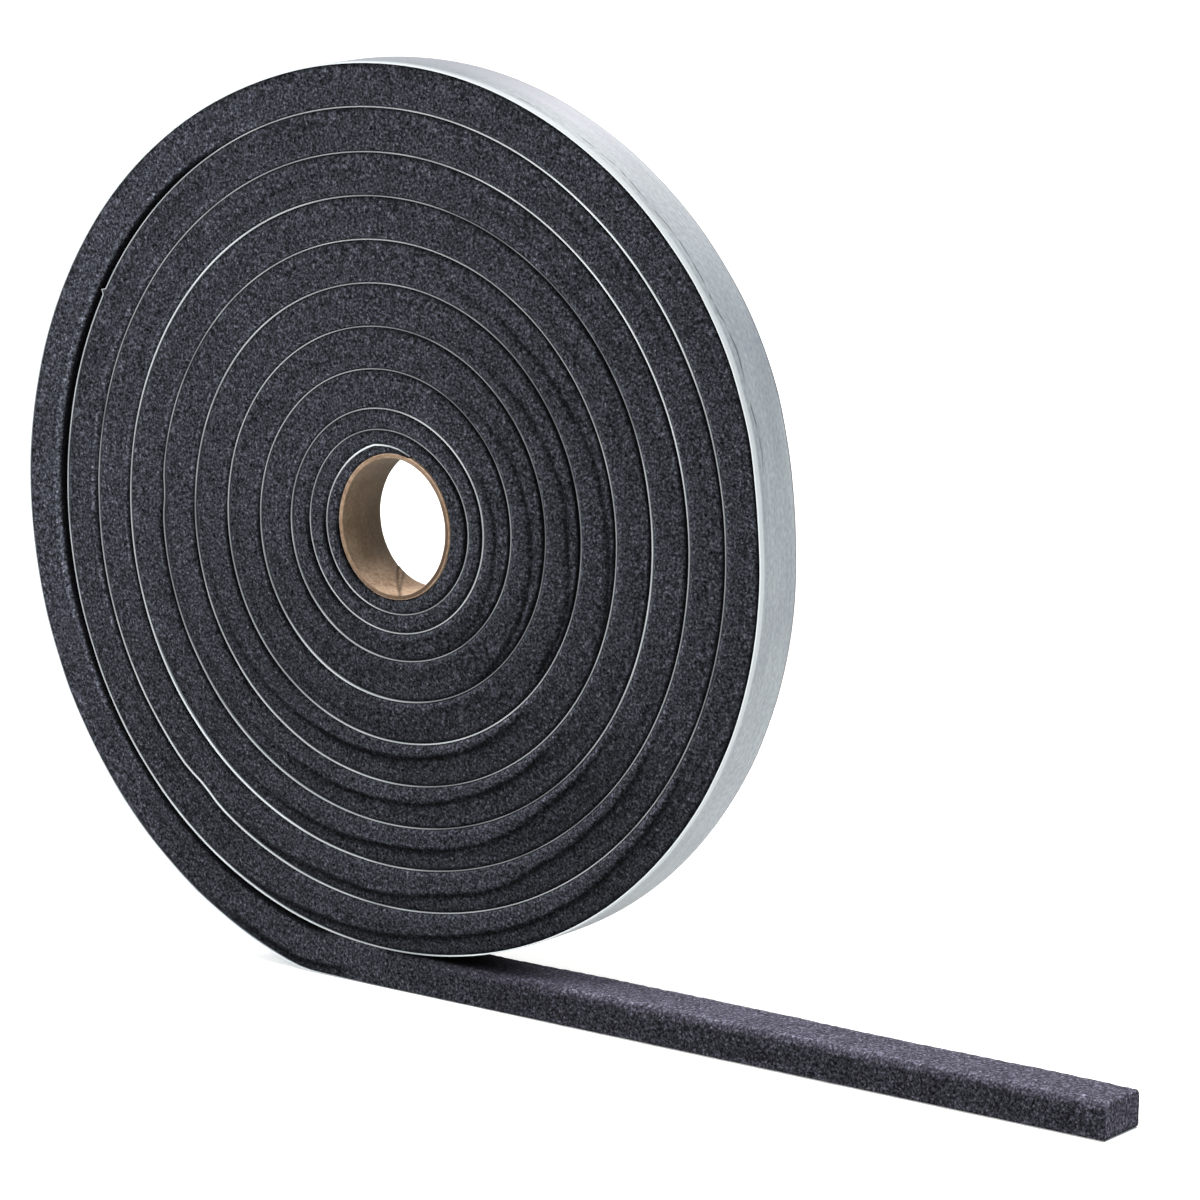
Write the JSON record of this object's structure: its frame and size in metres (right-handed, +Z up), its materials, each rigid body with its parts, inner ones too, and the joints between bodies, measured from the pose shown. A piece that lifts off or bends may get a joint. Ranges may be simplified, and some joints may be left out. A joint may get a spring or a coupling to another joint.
{
  "type": "foam weatherstrip tape",
  "caption": "Roll of dark self-adhesive foam draught strip with paper backing on a cardboard core, its loose end lying flat.",
  "frame": {"origin": "middle of the bounding box's bottom, on the floor", "axes": "+X runs along the loose end, +Z is up, Y is the roll's axis with the seen face at -Y"},
  "size_m": [0.2504, 0.012, 0.1787],
  "materials": {
    "foam": "matte charcoal open-cell foam",
    "liner": "satin release paper",
    "core": "matte kraft board"
  },
  "bodies": {
    "root": {"foam_strip": "foam", "release_liner": "liner", "cardboard_core": "core"}
  },
  "joints": []
}
